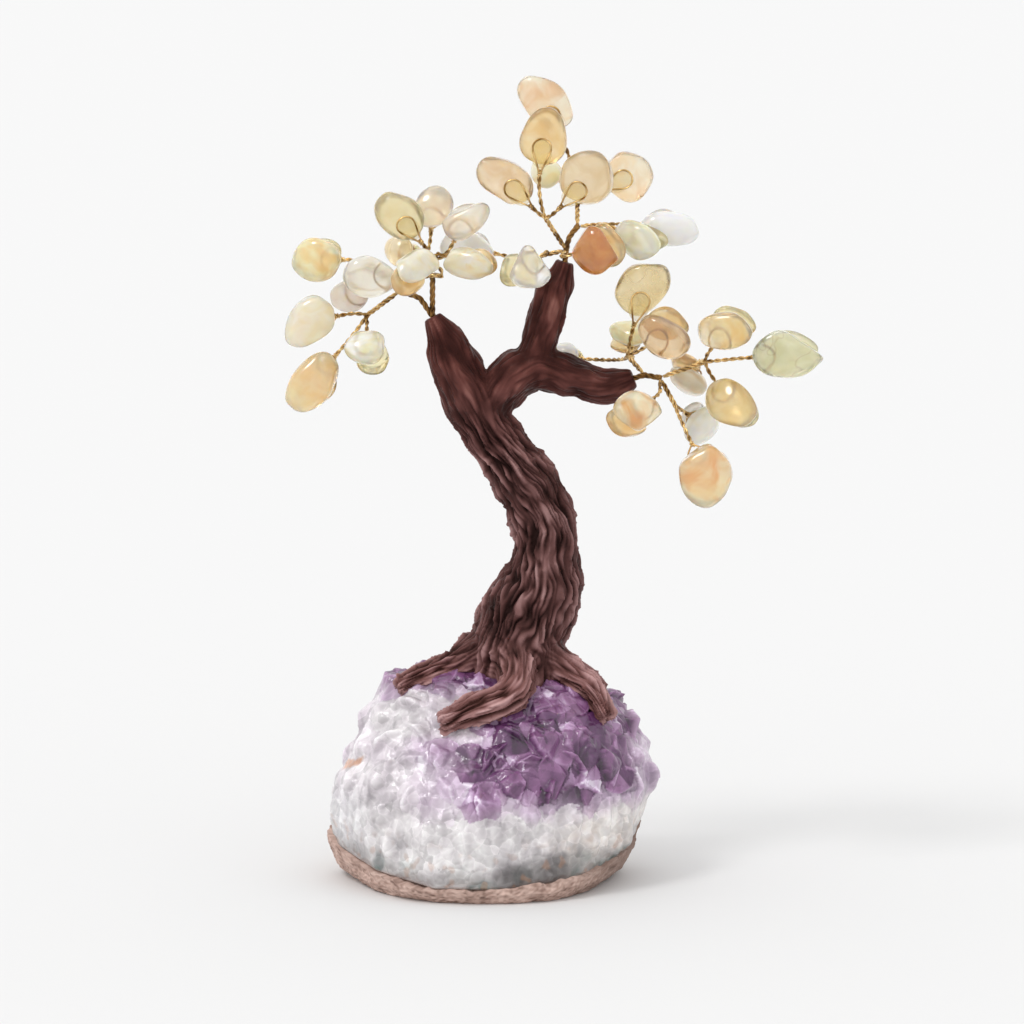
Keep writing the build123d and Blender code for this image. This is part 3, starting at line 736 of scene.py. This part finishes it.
print("trunk")
bark = {
    "voxel": 0.24, "twist": 0.012, "lump": 0.6, "lumpSize": 5.5,
    # Creases: strand width and length in mm, how sharp, how deep, and how much of it the smooth limbs keep.
    "creases": [(3.8, 16, 0.2, 0.42, 0.4), (1.5, 9, 0.26, 0.55, 0.4), (0.7, 5, 0.34, 0.6, 0.3)],
}


def limbLine(points, step=0.6):
    # Centre line and radius with smooth bends between the given sections.
    data = np.array(points, float)
    data[:, 3] /= 2
    ends = np.concatenate([[2 * data[0] - data[1]], data, [2 * data[-1] - data[-2]]])
    out = []
    for i in range(1, len(ends) - 2):
        a, b, c, d = ends[i - 1:i + 3]
        count = max(int(np.linalg.norm(c[:3] - b[:3]) / step), 2)
        for t in np.linspace(0, 1, count, endpoint=False):
            out.append(0.5 * (2 * b + (c - a) * t + (2 * a - 5 * b + 4 * c - d) * t ** 2
                              + (3 * b - a - 3 * c + d) * t ** 3))
    out.append(ends[-2])
    return np.array(out)


limbs = [limbLine(line) for line in [trunkLine, rightLine, topLine] + rootLines]
verts, faces = joined([tube(limb[:, :3], limb[:, 3], 24) for limb in limbs])
skin, verts, normals = voxelSkin("trunk_bark", verts, faces, bark["voxel"], 8, putty)
rugged = 1 - smoothstep(86, 100, verts[:, 2])
warp = 0.3 * noiseAt(verts, 9.0, 1) + 0.08 * noiseAt(verts, 3.0, 2)
relief = np.zeros(len(verts))
weights = np.zeros(len(verts))
for number, limb in enumerate(limbs):
    tangents, across, upward = framesAlong(limb[:, :3])
    run = np.concatenate([[0], np.cumsum(np.linalg.norm(np.diff(limb[:, :3], axis=0), axis=1))])
    gap = np.full(len(verts), 1e9)
    nearest = np.zeros(len(verts), int)
    for i, spot in enumerate(limb[:, :3]):
        d = np.linalg.norm(verts - spot, axis=1)
        closer = d < gap
        gap[closer] = d[closer]
        nearest[closer] = i
    weight = np.exp(-7 * np.clip(gap / limb[nearest, 3] - 0.5, 0, 6))
    own = np.where(weight > 0.003)[0]
    offset = verts[own] - limb[nearest[own], :3]
    place = run[nearest[own]] + (offset * tangents[nearest[own]]).sum(1)
    angle = np.arctan2((offset * upward[nearest[own]]).sum(1), (offset * across[nearest[own]]).sum(1))
    angle = angle + bark["twist"] * place + warp[own]
    girth = limb[:, 3].mean()
    for layer, (width, length, sharp, depth, kept) in enumerate(bark["creases"]):
        coords = np.stack([np.cos(angle) * girth / width, np.sin(angle) * girth / width, place / length], 1)
        wave = noiseAt(coords, 1.0, 3 + 5 * layer + number)
        crease = np.exp(-(wave / sharp) ** 2)
        share = kept + (1 - kept) * rugged[own]
        relief[own] += weight[own] * depth * share * (0.35 - crease + 0.5 * np.abs(wave))
    weights[own] += weight[own]
relief /= np.maximum(weights, 1e-9)
lumps = bark["lump"] * (noiseAt(verts, bark["lumpSize"], 4) + (1 - rugged) * noiseAt(verts, 4.0, 9))
crumbs = np.clip(noiseAt(verts, 1.1, 5) - 0.25, 0, 1) * (0.25 + 0.75 * rugged) * 1.1
thinness = np.ones(len(verts))
for tipPoint in (leftExit, topExit, rightExit):
    near = np.linalg.norm(verts - np.array(tipPoint), axis=1)
    thinness = np.minimum(thinness, 0.3 + 0.7 * smoothstep(1.0, 7.0, near))
shaped = verts + normals * ((relief + lumps + crumbs) * thinness)[:, None]
trunk = skinObject("trunk_bark", skin, shaped, putty)
# Painted shade and highlight: the colour follows the relief and the lumps, dark in the creases and light on the
# ridges and lumps.
height = np.clip(0.52 + 0.8 * relief + 0.35 * lumps * (1 - 0.6 * rugged), 0, 1)
worn = smoothstep(54, 42, verts[:, 2]) * smoothstep(7, 14, np.hypot(verts[:, 0] - 5.5, verts[:, 1]))
patchy = np.clip(0.55 + 0.9 * noiseAt(verts, 5.0, 6) + 0.35 * noiseAt(verts, 1.5, 7), 0, 1)
deep = height * (0.6 + 0.45 * patchy)
limbColours = shades([(0, "#1c0c0a"), (0.35, "#3e211e"), (0.65, "#633a35"), (1, "#98685f")], deep)
stemColours = shades([(0, "#1e100f"), (0.35, "#4e3230"), (0.65, "#795755"), (1, "#a58280")], deep)
lower = smoothstep(106, 78, verts[:, 2])[:, None]
colours = limbColours * (1 - lower) + stemColours * lower
deep = height * (0.75 + 0.3 * patchy)
rootColours = shades([(0, "#38201c"), (0.4, "#7a5350"), (0.7, "#a07977"), (1, "#c29b99")], deep)
paint(trunk, colours * (1 - worn[:, None]) + rootColours * worn[:, None])
hang(trunk, "stand", "trunk", "wire_core")

print("geode")
rock = {
    "levels": [
        (0, 27.5, 24, 26.5, 21), (2, 30, 26.5, 28.2, 22.5), (7, 32.2, 29, 29.2, 24.5),
        (14, 33.4, 31, 28.8, 25.5),
        (21, 32, 32.4, 27.2, 25.5), (28, 27.6, 31.4, 23.8, 24), (35, 24.2, 27.8, 18.5, 20.5),
        (40, 20.3, 21.8, 12.5, 15.5), (43.2, 11.5, 13, 6, 8.5),
    ],
    "rindFront": 3.2, "rindBack": 14, "around": 320, "heart": (1, 0, 20),
}
# Small points: tries to place one, radius at the white and the purple end, spacing, slope and height.
grain = {"detail": 8, "tries": 6000, "small": 1.5, "large": 2.3, "spacing": 0.55,
         "slope": 0.62, "rise": 0.5, "floor": -0.35, "white": 0.22}
levelTable = np.array(rock["levels"], float)
rindSlope = (rock["rindBack"] - rock["rindFront"]) / 50
rindMiddle = (rock["rindBack"] + rock["rindFront"]) / 2


def rockPoint(turn, height):
    # Points on the rock's outside for arrays of turn (radians) and height (mm).
    left, right, front, back = [np.interp(height, levelTable[:, 0], levelTable[:, i]) for i in range(1, 5)]
    wobble = 1 + 0.025 * np.sin(3 * turn + 0.12 * height) + 0.02 * np.sin(5 * turn - 0.2 * height)
    x = np.where(np.cos(turn) > 0, right, left) * np.cos(turn) * wobble
    y = np.where(np.sin(turn) > 0, back, front) * np.sin(turn) * wobble
    return np.stack([x, y, height + 0 * turn], 1)


def purpleShare(spots, drift):
    # Purple on the crown and the upper front, fading to white at the left front and low down.
    x, y, z = spots.T
    purple = smoothstep(15, 22, z + drift)
    pale = smoothstep(-9, -19, x + drift) * smoothstep(42, 37, z) * smoothstep(16, 4, y)
    lilac = smoothstep(-3, -12, x + drift) * smoothstep(31, 25, z) * smoothstep(0, -8, y)
    chalk = smoothstep(2, -5, x + drift) * smoothstep(29, 33, z)
    chalk = chalk * smoothstep(41, 39, z) * smoothstep(-4, -9, y)
    rim = smoothstep(27, 33, x + 0.6 * drift)
    return purple * (1 - 0.85 * pale) * (1 - 0.5 * lilac) * (1 - 0.85 * chalk) * (1 - 0.55 * rim)


def stoneColour(spots, zones, tones):
    # Zones of an opened geode: purple points, lilac, milky white, then grey and green next to the rind.
    # The purple follows the points' own places, the rest the stone itself.
    drift = 3.0 * noiseAt(zones, 8.0, 7) + 1.5 * noiseAt(zones, 3.0, 8)
    purple = purpleShare(zones, drift)
    x, y, z = spots.T
    fine = noiseAt(spots, 1.3, 22)
    drift = 2.0 * noiseAt(spots, 7.0, 23) + 1.2 * fine
    deep = shades([(0, "#2c0f2b"), (0.3, "#552a56"), (0.6, "#82567f"), (0.85, "#b491b6"),
                   (1, "#e6d8ea")], tones)
    white = shades([(0, "#a49fa2"), (0.35, "#cbc6c8"), (0.7, "#e4e1e1"), (1, "#f6f5f5")], tones)
    lilac = shades([(0, "#96799a"), (0.4, "#bda2bf"), (0.8, "#d8c6da"), (1, "#f0e8f2")], tones)
    middle = (1 - np.abs(2 * purple - 1))[:, None]
    colour = white * (1 - purple[:, None]) + deep * purple[:, None]
    colour = colour * (1 - 0.65 * middle) + lilac * 0.65 * middle
    above = z - (rindMiddle + rindSlope * y)
    grit = 0.55 + 0.45 * fine
    colour = toward(colour, "#9d9ca4", 0.55 * grit * smoothstep(-22, -29, x + drift) * smoothstep(24, 16, z))
    colour = toward(colour, "#d0c0ae", 0.5 * grit * smoothstep(8, 20, x + drift) * smoothstep(20, 13, z))
    colour = toward(colour, "#8f8b8a", 0.7 * smoothstep(6.5, 1.0, above + drift))
    teal = smoothstep(0.05, 0.4, noiseAt(spots, 5.0, 9)) * smoothstep(6.5, 2.5, above + drift)
    colour = toward(colour, "#4c6864", 0.75 * np.clip(teal * grit * 1.3, 0, 1))
    murk = smoothstep(-1, 4, x + drift) * smoothstep(20, 14, x + drift)
    murk = murk * smoothstep(7.5, 4, above + drift) * (y < 0)
    colour = toward(colour, "#453f3e", murk * (0.75 + 0.25 * fine))
    rust = smoothstep(0.3, 0.5, noiseAt(spots, 2.2, 10) + 0.3 * fine) * smoothstep(12, 3, above)
    colour = toward(colour, "#a8754c", 0.35 * rust)
    streak = smoothstep(0.9, 0.3, np.abs(z - 25 - 0.6 * (x + 27.5) + 0.5 * fine))
    streak = streak * smoothstep(2.6, 1.4, np.abs(x + 27.5))
    return toward(colour, "#c07a3c", 0.75 * streak * (y < 0))


def closedGrid(rings):
    # A closed skin over rings of equal length, with a fan at each end.
    count = len(rings[0])
    verts = np.concatenate(rings + [rings[0].mean(0)[None], rings[-1].mean(0)[None]])
    faces = []
    for i in range(len(rings) - 1):
        for j in range(count):
            k = (j + 1) % count
            faces.append((i * count + j, i * count + k, (i + 1) * count + k, (i + 1) * count + j))
    low = len(rings) * count
    for j in range(count):
        k = (j + 1) % count
        faces.append((low, k, j))
        faces.append((low + 1, (len(rings) - 1) * count + j, (len(rings) - 1) * count + k))
    return verts, faces


# One fine skin over the CAD quartz and its main points, each ray taking the outermost face.
heart = np.array(rock["heart"], float)
solid, solidFaces = islands(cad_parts["geode_quartz"])[0]
finder = BVHTree.FromPolygons([tuple(v) for v in solid], solidFaces)
rays, skinFaces, skinEdges = unitSphere(grain["detail"])
base = np.array([finder.ray_cast(Vector(heart + 80 * ray), Vector(-ray))[0] for ray in rays])
share = purpleShare(base, np.zeros(len(base)))[:, None]
base = eased(base, 1, skinEdges) * share + eased(base, 16, skinEdges) * (1 - share)
outward = (base - heart) / np.array([30, 25, 24]) ** 2
outward /= np.linalg.norm(outward, axis=1)[:, None]
share = purpleShare(base, np.zeros(len(base)))
aboveRind = base[:, 2] - rindMiddle - rindSlope * base[:, 1]

# Small points grown all over it: each is six planes round an axis, and the highest point wins.
rng = np.random.default_rng(11)
lookup = kdtree.KDTree(len(base))
for i, spot in enumerate(base):
    lookup.insert(spot, i)
lookup.balance()
placed = np.zeros((0, 3))
sizes = np.zeros(0)
raised = np.full(len(base), -9.0)
tones = np.zeros(len(base))
owner = base.copy()
for index in rng.choice(len(base), grain["tries"]):
    spot = base[index]
    size = (grain["small"] + (grain["large"] - grain["small"]) * share[index]) * rng.uniform(0.65, 1.35)
    jitter = rng.normal(size=3)
    spin = rng.uniform(0, 2 * math.pi)
    slopes = grain["slope"] * rng.uniform(0.7, 1.3, 6)
    facetTones = 0.15 * rng.normal() + 0.1 * rng.normal(size=6)
    if np.any(np.linalg.norm(placed - spot, axis=1) < grain["spacing"] * (sizes + size)):
        continue
    placed = np.concatenate([placed, spot[None]])
    sizes = np.append(sizes, size)
    axis = outward[index] + 0.22 * jitter
    axis /= np.linalg.norm(axis)
    first = np.cross(axis, (0.3, 0.5, 0.8))
    first /= np.linalg.norm(first)
    second = np.cross(axis, first)
    turns = spin + np.linspace(0, 2 * math.pi, 6, endpoint=False)
    ways = axis + slopes[:, None] * (np.cos(turns)[:, None] * first + np.sin(turns)[:, None] * second)
    near = np.array([found[1] for found in lookup.find_range(Vector(spot), 2.2 * size)])
    lift = (grain["rise"] - (base[near] - spot) @ ways.T) / np.maximum(outward[near] @ ways.T, 0.3)
    lowest = lift.argmin(1)
    lift = lift[np.arange(len(near)), lowest]
    wins = lift > raised[near]
    raised[near[wins]] = lift[wins]
    tones[near[wins]] = facetTones[lowest[wins]]
    owner[near[wins]] = spot
print("crystal points", len(placed))
raised = np.clip(raised, grain["floor"], grain["rise"]) * (grain["white"] + (1 - grain["white"]) * share)
ripple = 0.22 * noiseAt(base, 3.0, 13) + 0.1 * noiseAt(base, 1.1, 14)
raised += ripple * (1 - 0.7 * share) - 0.1
raised *= smoothstep(0.2, 1.5, aboveRind)
verts = base + outward * raised[:, None]
quartz = meshObject("geode_crystal", verts * mm, skinFaces, crystal)

# Painted highlight and shade: edges are lighter and the clefts between points deeper in colour.
normals = np.zeros(len(verts) * 3)
quartz.data.vertices.foreach_get("normal", normals)
bulge = ((verts - eased(verts, 1, skinEdges)) * normals.reshape(-1, 3)).sum(1)
bulge = np.clip(eased(bulge[:, None], 1, skinEdges)[:, 0] / 0.03, -1, 1)
clouds = 0.42 * noiseAt(verts, 7.0, 15) + 0.34 * noiseAt(verts * np.array([1, 1, 0.4]), 1.8, 16)
tones = 0.5 + tones * (0.3 + 0.7 * share) + (0.24 - 0.1 * share) * bulge + clouds * (1 - 0.5 * share)
paint(quartz, stoneColour(verts, 0.5 * owner + 0.5 * verts, np.clip(tones, 0, 1)))
hang(quartz, "stand", "geode_quartz")

turns = np.linspace(0, 2 * math.pi, rock["around"], endpoint=False)
edge = np.full(len(turns), 8.0)
for _ in range(4):
    probe = rockPoint(turns, edge)
    edge = np.clip(rindMiddle + rindSlope * probe[:, 1], 1.2, 30)
edge = np.maximum(edge + 0.3 + 1.4 * noiseAt(probe, 6.0, 11) + 0.8 * noiseAt(probe, 2.0, 12), 1.6)
rindRings = [rockPoint(turns, edge * t) for t in np.linspace(0, 1, 36)]
middle = rindRings[-1].mean(0)
rindRings.append(middle + (rindRings[-1] - middle) * 0.93)
verts, faces = closedGrid(rindRings)
outward = verts * np.array([1, 1, 0])
outward /= np.maximum(np.linalg.norm(outward, axis=1), 1e-6)[:, None]
crust = 0.25 + 0.6 * noiseAt(verts, 5.0, 17) + 0.35 * noiseAt(verts, 1.6, 18) + 0.3 * noiseAt(verts, 0.7, 19)
crust[:len(turns)] -= 0.5
crust[len(turns) * 36:] = 0
shaped = verts + outward * crust[:, None]
rind = meshObject("geode_skin", shaped * mm, faces, basalt)
tones = np.clip(0.55 + 0.45 * noiseAt(verts, 3.0, 20) + 0.7 * noiseAt(verts, 0.6, 21), 0, 1)
colours = shades([(0, "#745a4f"), (0.5, "#b89a8e"), (1, "#d8bcb0")], tones)
# Painted shade: the rind's right end is darker, on the side turned away from the key light.
colours = toward(colours, "#6e5a50", 0.6 * smoothstep(14, 26, verts[:, 0]))
paint(rind, colours)
hang(rind, "stand", "geode_rind")

print("stage")
studio = {"distance": 1.4, "elevation": 9, "aim": (0.00439, 0, 0.07463), "lens": 245}
lift = math.radians(studio["elevation"])
aim = Vector(studio["aim"])
cameraData = bpy.data.cameras.new("camera")
cameraData.lens = studio["lens"]
cameraData.clip_end = 50
camera = bpy.data.objects.new("camera", cameraData)
camera.location = aim + Vector((0, -math.cos(lift), math.sin(lift))) * studio["distance"]
camera.rotation_euler = (aim - camera.location).to_track_quat("-Z", "Y").to_euler()
bpy.context.scene.collection.objects.link(camera)
bpy.context.scene.camera = camera
bpy.context.scene.view_settings.view_transform = "Standard"

# Matt white paper: even and bright, with only a soft shadow.
paper, tree, output = newMaterial("White paper backdrop, matt")
shader = add(tree, "ShaderNodeBsdfPrincipled", {"Base Color": linear("#dfdfdf"), "Roughness": 1.0})
shader.inputs["Specular IOR Level"].default_value = 0.0
tree.links.new(shader.outputs[0], output.inputs["Surface"])
floor = meshObject("floor", [(-8, -3, 0), (8, -3, 0), (8, 14, 0), (-8, 14, 0)], [(0, 1, 2, 3)], paper)

# Bright overhead and behind, dimmer from the room in front, as in a small light tent.
world = bpy.data.worlds.new("studio")
bpy.context.scene.world = world
world.use_nodes = True
tree = world.node_tree
tree.nodes.clear()
way = add(tree, "ShaderNodeTexCoord").outputs["Generated"]
facing = add(tree, "ShaderNodeVectorMath", {0: way, 1: (-0.4, 0.1, 0.91)}, operation="DOT_PRODUCT")
level = add(tree, "ShaderNodeMapRange", {"Value": facing.outputs["Value"], "From Min": -0.6, "From Max": 0.8,
                                         "To Min": 0.87, "To Max": 1.14})
sky = add(tree, "ShaderNodeBackground", {"Color": linear("#ffffff"), "Strength": level.outputs[0]})
tree.links.new(sky.outputs[0], add(tree, "ShaderNodeOutputWorld").inputs["Surface"])

key = {"from": (-0.5, -0.45, 0.9), "power": 0.7, "spread": 15}
data = bpy.data.lights.new("key", "SUN")
data.energy = key["power"]
data.angle = math.radians(key["spread"])
item = bpy.data.objects.new("key", data)
item.location = key["from"]
item.rotation_euler = (-Vector(key["from"])).to_track_quat("-Z", "Y").to_euler()
bpy.context.scene.collection.objects.link(item)

print("done")
